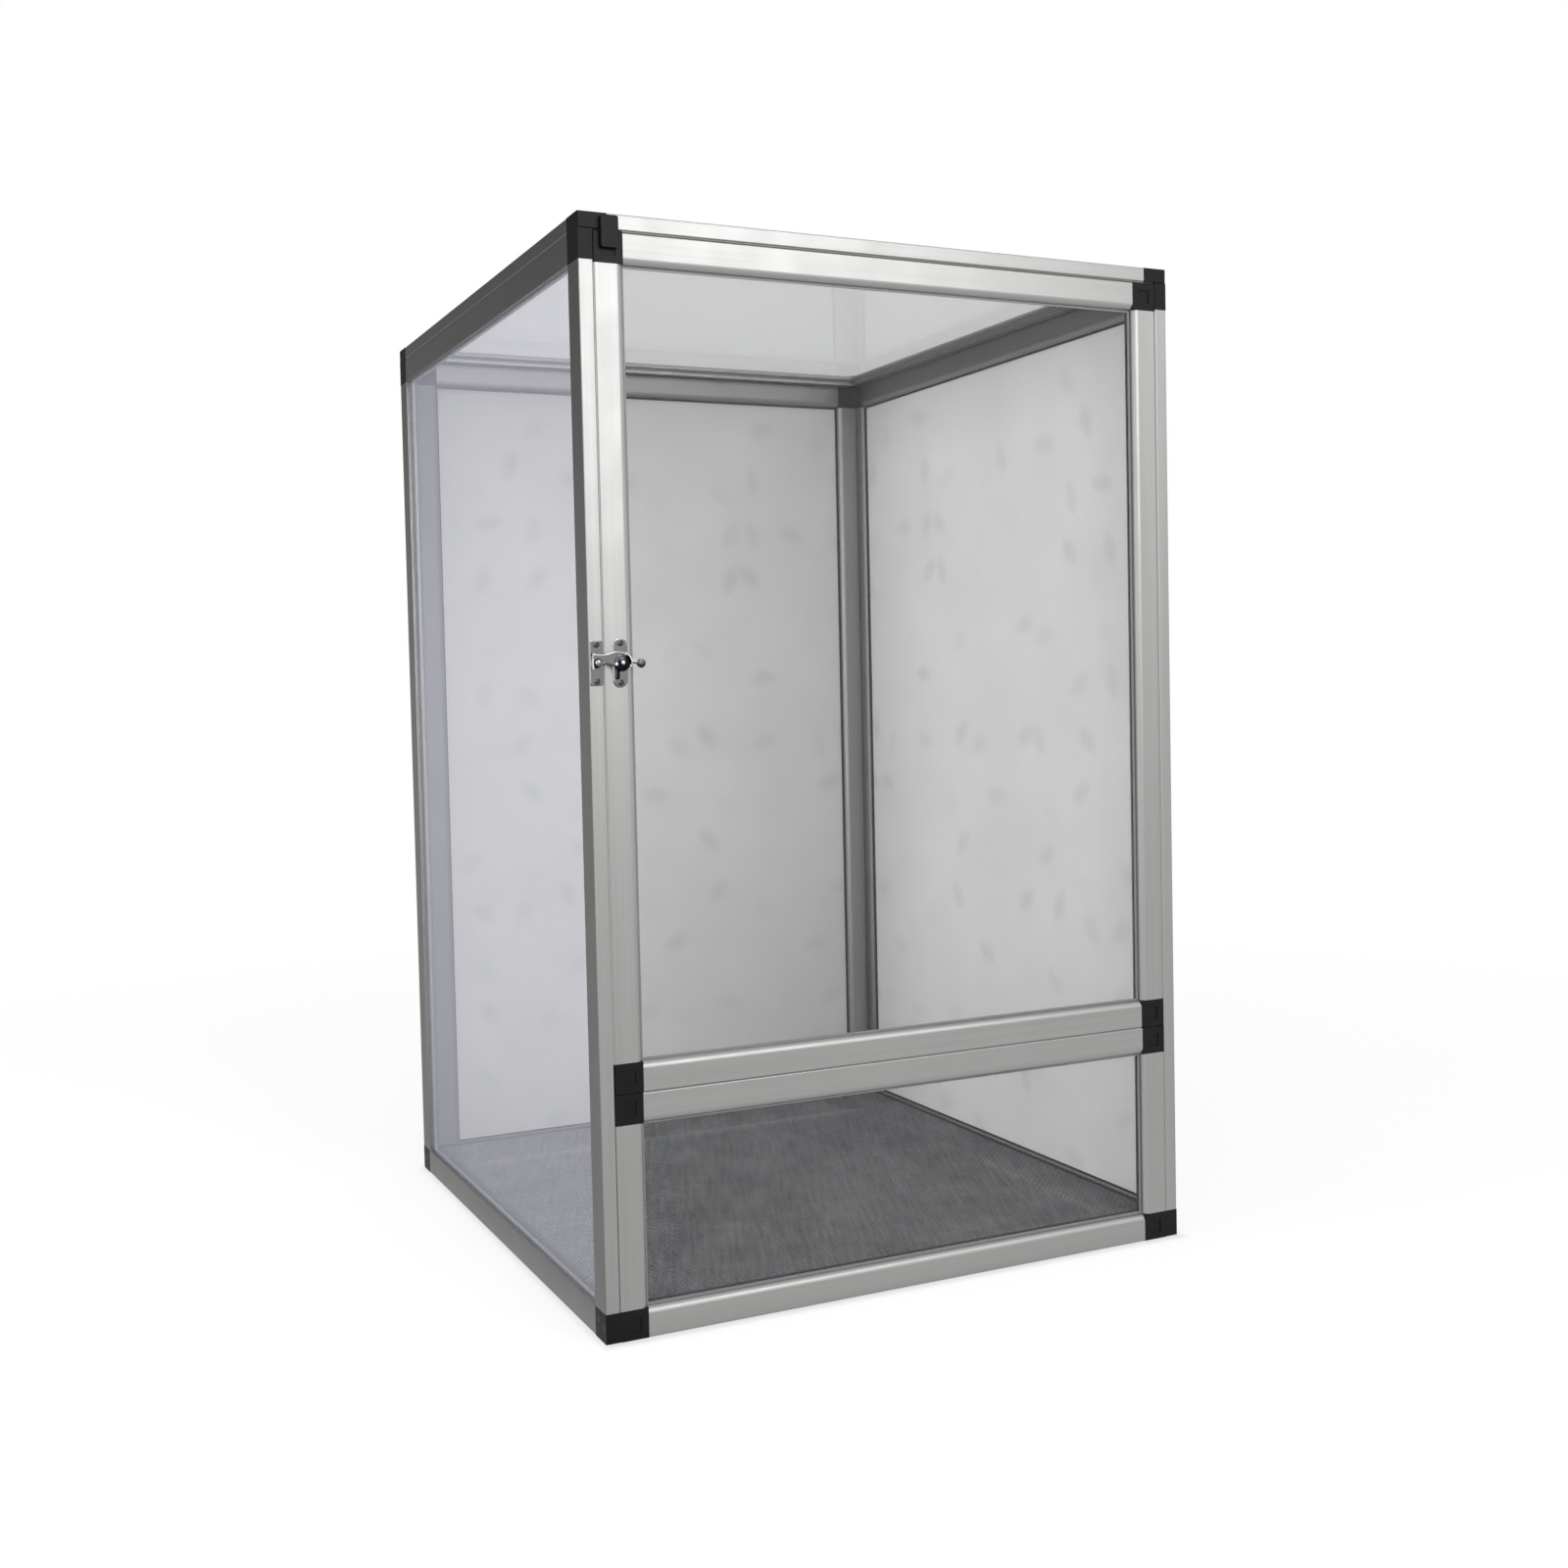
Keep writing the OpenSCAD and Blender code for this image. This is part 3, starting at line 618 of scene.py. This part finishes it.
# Cuts a cross recess into a screw head, one bar of it after the other.
def cutCross(piece, at, long, wide, low, high):
    for size in ((long, wide), (wide, long)):
        x, z = size[0] / 2, size[1] / 2
        knife = ([], [], [])
        loft(knife, [[onFront(at[0] + i * x, at[1] + j * z, out)
                      for i, j in ((-1, -1), (1, -1), (1, 1), (-1, 1))] for out in (low, high)])
        cutter = bpy.data.objects.new("knife", skinMesh("knife", knife))
        bpy.context.collection.objects.link(cutter)
        cut = piece.modifiers.new("cross", "BOOLEAN")
        cut.object, cut.operation, cut.solver = cutter, "DIFFERENCE", "EXACT"
        done = bpy.data.meshes.new_from_object(
            piece.evaluated_get(bpy.context.evaluated_depsgraph_get()))
        piece.modifiers.clear()
        piece.data = done
        bpy.data.objects.remove(cutter)
    piece.data.set_sharp_from_angle(angle=math.radians(35))


# Small pan-head screws of the latch, with a cross recess.
smallScrew = {"head": 2.3, "rim": 0.4, "rise": 1.3, "shank": 1.2, "deep": 7.0, "plate": 1.2,
              "cross": (3.2, 0.85, 0.9)}


def driveSmallScrews(name, at, apart, body):
    head, rim, rise, plate = (smallScrew[key] for key in ("head", "rim", "rise", "plate"))
    long, wide, deep = smallScrew["cross"]
    spots = [(at[0], at[1] + sign * apart) for sign in (-1, 1)]
    shape = ([], [], [])
    for spot in spots:
        turnShape(shape, spot, [(smallScrew["shank"], -smallScrew["deep"]),
                                (smallScrew["shank"], plate + 0.01)], 16)
        turnShape(shape, spot, [(head, plate), (head, plate + rim)]
                  + domeProfile(head - 0.05, rise - rim, plate + rim))
    piece = makePiece(name + "_heads", shape, [screwZincAndPaintedBall], body, [name], 35.0)
    for spot in spots:
        cutCross(piece, spot, long, wide, plate + rise - deep, plate + rise + 1)


driveSmallScrews("latch_screws", pivot, 14.0, "door")
driveSmallScrews("keeper_screws", studAt, 13.0, "cage")


# The latch's plate, pressed with a short rib between the hub and the lower screw, in the dark
# plating: painted shade below the hub.
def makeLatchPlate():
    plate = {"wide": 11.0, "high": 35.0, "thick": 1.2, "edge": (0.8, 0.7)}
    rib = {"at": (-2.5, -7.6), "half": 1.7, "straight": 2.6, "high": 2.4, "edge": (1.1, 1.0)}
    shape = ([], [], [])
    half = plate["wide"] / 2
    pressShape(shape, roundEnded(half, plate["high"] / 2 - half, 20), pivot, 0,
               plate["thick"], plate["edge"])
    pressShape(shape, roundEnded(rib["half"], rib["straight"], 10),
               (pivot[0] + rib["at"][0], pivot[1] + rib["at"][1]), plate["thick"] - sunk,
               rib["high"], rib["edge"], 5, 1)
    makePiece("latch_back_plate", shape, [chrome, paintedDarkPlating], "door",
              ["latch_plate"], 35.0)


# The keeper on the wall: a plate and the stud that the hook goes round, in a dark ring, painted
# shade at the stud's foot.
def makeKeeper():
    keeper = {"wide": 10.0, "high": 32.0, "corner": 2.2, "thick": 1.2, "edge": (0.6, 0.6),
              "stud": 2.4, "studOut": 6.4, "crown": 0.7, "ring": (3.9, 3.6), "ringHigh": 0.3}
    x, z, r = keeper["wide"] / 2, keeper["high"] / 2, keeper["corner"]
    outline = []
    for i, j, turn in ((1, 1, 0), (-1, 1, 90), (-1, -1, 180), (1, -1, 270)):
        outline += arc((i * (x - r), j * (z - r)), (r, r), turn, turn + 90, 6)
    thick, stud, crown = keeper["thick"], keeper["stud"], keeper["crown"]
    neck = keeper["studOut"] - crown
    shape = ([], [], [])
    pressShape(shape, outline, studAt, 0, thick, keeper["edge"])
    turnShape(shape, studAt, [(keeper["ring"][0], thick - sunk),
                              (keeper["ring"][1], thick + keeper["ringHigh"])], 32, 1)
    turnShape(shape, studAt, [(stud, thick + 0.2), (stud, thick + 0.4), (stud, neck)]
              + domeProfile(stud, crown, neck))
    makePiece("keeper_and_stud", shape, [chrome, paintedDarkPlating], "cage",
              ["keeper_plate"], 35.0)


# A point of a cubic curve and the way it runs there.
def bezier(points, t):
    a, b, c, d = (Vector(point) for point in points)
    s = 1 - t
    spot = s * s * s * a + 3 * s * s * t * b + 3 * s * t * t * c + t * t * t * d
    way = s * s * (b - a) + 2 * s * t * (c - b) + t * t * (d - c)
    return spot, way.normalized()


# The latch arm, cast in one piece: a hook with an open slot for the stud and a bright rim on its
# outer leg, an arched blade, a domed hub with a collar at its right and a small pin, and a short
# lever with a ball. The rim, the collar and the pin are in the brighter plating, painted
# highlights; the hub's cap is in the dark plating and the ball in the darker zinc, painted dark
# reflection.
def makeLatchArm():
    arm = {
        "low": 3.0, "high": 4.9, "edge": (0.9, 1.3),
        "leg": 23.0, "legTurn": (165, 193.5), "slot": (15.3, 20.4), "slotTurn": 181,
        "stud": 18.0, "studRoom": 2.7,
        "under": ((-13.4, -1.3), (-11.0, -0.7), (-8.6, -1.3)),
        "hub": 6.3, "hubTurn": (205, 372), "boss": 4.8, "bossLow": 1.35,
        "over": ((5.8, 3.4), (4.2, 5.8), (1.8, 7.4), (-1.2, 8.2), (-4.2, 8.4), (-7.2, 7.8),
                 (-10.5, 6.7), (-14.0, 6.2), (-18.0, 6.3), (-21.4, 6.8)),
        "rim": ((21.6, 22.6), (171.0, 193.0), 5.4, (0.45, 0.9)),
        "paintedDarkCap": ((6.2, 4.0), (6.1, 5.0), (5.5, 5.9), (4.2, 6.5), (2.2, 6.9), (0.05, 7.0)),
        "paintedHighlightCollar": ((5.6, 7.9), (-30.0, 74.0), 6.3, (0.9, 1.3)),
        "pin": ((-4.8, -1.0), ((1.3, 5.0), (1.3, 6.2), (1.0, 6.6), (0.5, 6.75), (0.05, 6.8))),
        "lever": ((6.0, 0.9), (8.4, 0.9), (11.0, 0.2), (13.0, -0.4)), "leverOut": (4.0, 5.7),
        "leverSteps": 12, "leverSides": 16,
        "thickness": (1.6, 1.1), "ball": 3.3, "ballAt": (13.8, -0.6), "ballOut": 5.9,
    }
    inner, outer = arm["slot"]
    top, tip = arm["legTurn"]
    mouth = arm["slotTurn"]
    outline = arc((0, 0), (arm["leg"], arm["leg"]), top, tip, 12)
    outline += arc((0, 0), (outer, outer), tip, mouth, 6)
    outline += arc((-arm["stud"], 0), (arm["studRoom"], arm["studRoom"]), 176, 4, 10)
    outline += arc((0, 0), (inner, inner), mouth, mouth + 4, 2)
    outline += arm["under"]
    outline += arc((0, 0), (arm["hub"], arm["hub"]), *arm["hubTurn"], 24)
    outline += arm["over"]
    shape = ([], [], [])
    pressShape(shape, outline, pivot, arm["low"], arm["high"], arm["edge"], 6)
    turnShape(shape, pivot, [(arm["boss"], arm["bossLow"]), (arm["boss"], arm["low"] + sunk)])
    turnShape(shape, pivot, arm["paintedDarkCap"], 48, 1)
    for part in ("paintedHighlightCollar", "rim"):
        (near, far), (start, end), high, edge = arm[part]
        pressShape(shape, arc((0, 0), (far, far), start, end, 16)
                   + arc((0, 0), (near, near), end, start, 16), pivot,
                   arm["low"] + 2 * sunk, high, edge, 5, 2)
    spot, profile = arm["pin"]
    turnShape(shape, (pivot[0] + spot[0], pivot[1] + spot[1]), profile, 24, 2)
    rings = []
    for step in range(arm["leverSteps"] + 1):
        part = step / arm["leverSteps"]
        spot, way = bezier(arm["lever"], part)
        side = Vector((-way.y, way.x))
        thick, middle = (low + (high - low) * part
                         for low, high in (arm["thickness"], arm["leverOut"]))
        ring = []
        for k in range(arm["leverSides"]):
            around = 2 * math.pi * k / arm["leverSides"]
            at = spot + side * thick * math.cos(around)
            ring.append(onFront(pivot[0] + at.x, pivot[1] + at.y,
                                middle + thick * math.sin(around)))
        rings.append(ring)
    loft(shape, rings)
    ball = arm["ball"]
    turns = [math.pi * (0.02 + 0.96 * k / 16) for k in range(17)]
    turnShape(shape, (pivot[0] + arm["ballAt"][0], pivot[1] + arm["ballAt"][1]),
              [(ball * math.sin(t), arm["ballOut"] - ball * math.cos(t)) for t in turns],
              24, 3)
    makePiece("latch_hook", shape, [chrome, paintedDarkPlating, paintedHighlightPlating, screwZincAndPaintedBall],
              "latch_arm", ["latch_arm"], 50.0)


# The rivet the arm turns on: its polished end is a small dome in the brighter plating, a painted
# highlight.
def makeRivet():
    rivet = {"shank": 2.0, "seat": 7.0, "head": 1.5, "rise": 0.8}
    shape = ([], [], [])
    turnShape(shape, pivot, [(rivet["shank"], 0.0), (rivet["shank"], rivet["seat"] - 0.5)])
    turnShape(shape, pivot, [(rivet["head"], rivet["seat"] - 0.6), (rivet["head"], rivet["seat"])]
              + domeProfile(rivet["head"], rivet["rise"], rivet["seat"]))
    makePiece("latch_pin", shape, [paintedHighlightPlating], "door", ["latch_rivet"], 35.0)


makeLatchPlate()
makeKeeper()
makeLatchArm()
makeRivet()
print("latch made")


# What only reflections see of the room: white, but for a soft dark side behind the cage at
# the left, which shades the metal that mirrors it.
darkSide = {
    "way": (-0.64, 0.77, 0.0), "from": (-0.2, -0.9, 0.0),
    "edge": (72.0, 34.0),  # degrees off that way where it starts, and where it is full
    "depth": (0.5, 0.88), "rise": 0.25,  # at the ground, and from this slope upward
}


def darkShare(tree, way):
    off = addNode(tree, "ShaderNodeVectorMath", {
        "operation": "DOT_PRODUCT", 0: way, 1: darkSide["way"]})
    low, high = (math.cos(math.radians(turn)) for turn in darkSide["edge"])
    return addNode(tree, "ShaderNodeMapRange", {
        "interpolation_type": "SMOOTHSTEP", "From Min": low, "From Max": high,
        "Value": off.outputs["Value"]}).outputs[0]


# The ground: grey where light bounces off it, white to the eye further out, and painted darker
# under the
# cage, also in reflections: its glow is left out there, a painted shadow.
def setStage():
    ground = {
        "size": 30.0, "fade": (0.7, 1.8),  # metres from the middle, to plain white
        "albedo": "#c8c8c8", "seen": "#8c8c8c", "glow": 0.76,
        # painted shadow: the square under the cage where the glow is left out, and the share of
        # white that reflections keep there
        "paintedShadowFoot": (0.225, 0.262), "paintedShadowInMirror": 0.3,  # what reflections keep of it there
        "beside": (-0.21, -0.29),  # left of the cage, where its dark side starts
    }
    half = ground["size"] / 2
    mesh = bpy.data.meshes.new("ground")
    mesh.from_pydata([(-half, -half, 0), (half, -half, 0), (half, half, 0), (-half, half, 0)],
                     [], [(0, 1, 2, 3)])
    piece = bpy.data.objects.new("ground", mesh)
    bpy.context.collection.objects.link(piece)
    material, tree, place = startMaterial("paleGround")
    path = addNode(tree, "ShaderNodeLightPath", {}).outputs
    distance = addNode(tree, "ShaderNodeVectorMath", {"operation": "LENGTH", 0: place})
    far = addNode(tree, "ShaderNodeMapRange", {
        "interpolation_type": "SMOOTHSTEP", "From Min": ground["fade"][0],
        "From Max": ground["fade"][1], "Value": distance.outputs["Value"]})
    folded = addNode(tree, "ShaderNodeVectorMath", {"operation": "ABSOLUTE", 0: place})
    split = addNode(tree, "ShaderNodeSeparateXYZ", {0: folded.outputs[0]}).outputs
    reach = addNode(tree, "ShaderNodeMath", {
        "operation": "MAXIMUM", 0: split["X"], 1: split["Y"]})
    glowWithPaintedShadow, mirrorWithPaintedShadow = (addNode(tree, "ShaderNodeMapRange", {
        "From Min": ground["paintedShadowFoot"][0], "From Max": ground["paintedShadowFoot"][1], "To Min": low,
        "To Max": high, "Value": reach.outputs[0]}).outputs[0]
        for low, high in ((0.0, ground["glow"]), (ground["paintedShadowInMirror"], 1.0)))
    lit = addNode(tree, "ShaderNodeBsdfDiffuse", {"Color": toLinear(ground["albedo"])})
    dim = addNode(tree, "ShaderNodeBsdfDiffuse", {"Color": toLinear(ground["seen"])})
    glow = addNode(tree, "ShaderNodeEmission", {
        "Color": (1, 1, 1, 1), "Strength": glowWithPaintedShadow})
    near = addNode(tree, "ShaderNodeAddShader", {0: dim.outputs[0], 1: glow.outputs[0]})
    white = addNode(tree, "ShaderNodeEmission", {"Color": (1, 1, 1, 1), "Strength": 1.0})
    seen = addNode(tree, "ShaderNodeMixShader", {
        0: far.outputs[0], 1: near.outputs[0], 2: white.outputs[0]})
    looks = addNode(tree, "ShaderNodeMath", {
        "operation": "MAXIMUM", 0: path["Is Transmission Ray"], 1: path["Is Camera Ray"]})
    final = addNode(tree, "ShaderNodeMixShader", {
        0: looks.outputs[0], 1: lit.outputs[0], 2: seen.outputs[0]})
    away = addNode(tree, "ShaderNodeVectorMath", {
        "operation": "SUBTRACT", 0: place, 1: darkSide["from"]})
    way = addNode(tree, "ShaderNodeVectorMath", {"operation": "NORMALIZE", 0: away.outputs[0]})
    beside = addNode(tree, "ShaderNodeMapRange", {
        "interpolation_type": "SMOOTHSTEP", "From Min": ground["beside"][0],
        "From Max": ground["beside"][1],
        "Value": addNode(tree, "ShaderNodeSeparateXYZ", {0: place}).outputs["X"]})
    dark = addNode(tree, "ShaderNodeMath", {
        "operation": "MULTIPLY", 0: beside.outputs[0], 1: darkShare(tree, way.outputs[0])})
    kept = addNode(tree, "ShaderNodeMapRange", {
        "To Min": 1.0, "To Max": 1 - darkSide["depth"][0], "Value": dark.outputs[0]})
    tone = addNode(tree, "ShaderNodeMath", {
        "operation": "MULTIPLY", 0: kept.outputs[0], 1: mirrorWithPaintedShadow})
    mirrored = addNode(tree, "ShaderNodeEmission", {
        "Color": (1, 1, 1, 1), "Strength": tone.outputs[0]})
    whole = addNode(tree, "ShaderNodeMixShader", {
        0: path["Is Glossy Ray"], 1: final.outputs[0], 2: mirrored.outputs[0]})
    addNode(tree, "ShaderNodeOutputMaterial", {"Surface": whole.outputs[0]})
    piece.data.materials.append(material)


def setWorld():
    room = {"tint": "#f6f6f6", "strength": 0.68}
    world = bpy.data.worlds.new("paleRoom")
    bpy.context.scene.world = world
    world.use_nodes = True
    tree = world.node_tree
    tree.nodes.clear()
    path = addNode(tree, "ShaderNodeLightPath", {}).outputs
    way = addNode(tree, "ShaderNodeTexCoord", {}).outputs["Generated"]
    lights = addNode(tree, "ShaderNodeBackground", {
        "Color": toLinear(room["tint"]), "Strength": room["strength"]})
    depth = addNode(tree, "ShaderNodeMapRange", {
        "From Max": darkSide["rise"], "To Min": darkSide["depth"][0],
        "To Max": darkSide["depth"][1],
        "Value": addNode(tree, "ShaderNodeSeparateXYZ", {0: way}).outputs["Z"]})
    dark = path["Is Glossy Ray"]
    for part in (darkShare(tree, way), depth.outputs[0]):
        dark = addNode(tree, "ShaderNodeMath", {
            "operation": "MULTIPLY", 0: dark, 1: part}).outputs[0]
    bright = addNode(tree, "ShaderNodeMath", {"operation": "SUBTRACT", 0: 1.0, 1: dark})
    white = addNode(tree, "ShaderNodeBackground", {
        "Color": (1, 1, 1, 1), "Strength": bright.outputs[0]})
    looks = path["Is Camera Ray"]
    for kind in ("Is Transmission Ray", "Is Glossy Ray"):
        looks = addNode(tree, "ShaderNodeMath", {
            "operation": "MAXIMUM", 0: looks, 1: path[kind]}).outputs[0]
    mixed = addNode(tree, "ShaderNodeMixShader", {
        0: looks, 1: lights.outputs[0], 2: white.outputs[0]})
    addNode(tree, "ShaderNodeOutputWorld", {"Surface": mixed.outputs[0]})


def hangLamp(name, place, target, size, power, mirrored=True):
    lamp = bpy.data.lights.new(name, "AREA")
    lamp.shape = "RECTANGLE"
    lamp.size, lamp.size_y = size
    lamp.energy = power
    piece = bpy.data.objects.new(name, lamp)
    piece.visible_camera = False
    piece.visible_glossy = mirrored
    piece.location = place
    piece.rotation_euler = (Vector(target) - Vector(place)).to_track_quat("-Z", "Y").to_euler()
    bpy.context.collection.objects.link(piece)


# The camera that took the photo, solved on the cage's edges.
def standCamera():
    shot = {
        "eye": (-0.65935, -1.35732, 0.4662),
        "azimuth": -24.30, "elevation": 2.35, "roll": -1.34,
        "lens": 38.43, "sensor": 36.0, "shift": (0.04403, -0.0170),
    }
    turn, tilt, roll = (math.radians(shot[k]) for k in ("azimuth", "elevation", "roll"))
    ahead = -Vector((math.sin(turn) * math.cos(tilt), -math.cos(turn) * math.cos(tilt),
                     math.sin(tilt)))
    right = ahead.cross(Vector((0, 0, 1))).normalized()
    up = right.cross(ahead)
    rolledRight = math.cos(roll) * right + math.sin(roll) * up
    rolledUp = -math.sin(roll) * right + math.cos(roll) * up
    data = bpy.data.cameras.new("photoCamera")
    data.lens = shot["lens"]
    data.sensor_width = shot["sensor"]
    data.shift_x, data.shift_y = shot["shift"]
    data.clip_start = 0.01
    piece = bpy.data.objects.new("photoCamera", data)
    facing = Matrix((rolledRight, rolledUp, -ahead)).transposed().to_4x4()
    piece.matrix_world = Matrix.Translation(shot["eye"]) @ facing
    bpy.context.collection.objects.link(piece)
    bpy.context.scene.camera = piece


setStage()
setWorld()
hangLamp("softBoxFrontRight", (0.66, -2.5, 1.35), (-0.12, -0.2, 0.6), (1.4, 1.15), 24.0)
hangLamp("softBoxTop", (-0.3, -0.5, 2.4), (0, 0, 0.4), (1.0, 1.0), 5.5)
hangLamp("softBoxLeft", (-2.3, 0.1, 0.55), (0.25, 0.05, 0.3), (1.4, 1.0), 30.0, False)
hangLamp("softBoxRight", (2.6, -0.9, 0.9), (0.1, -0.2, 0.5), (1.2, 1.6), 5.0)
hangLamp("softBoxFrontLeft", (-1.35, -2.0, 0.7), (0.0, -0.25, 0.45), (1.1, 1.1), 7.0)
standCamera()
bpy.context.scene.view_settings.view_transform = "Standard"
print("stage set")
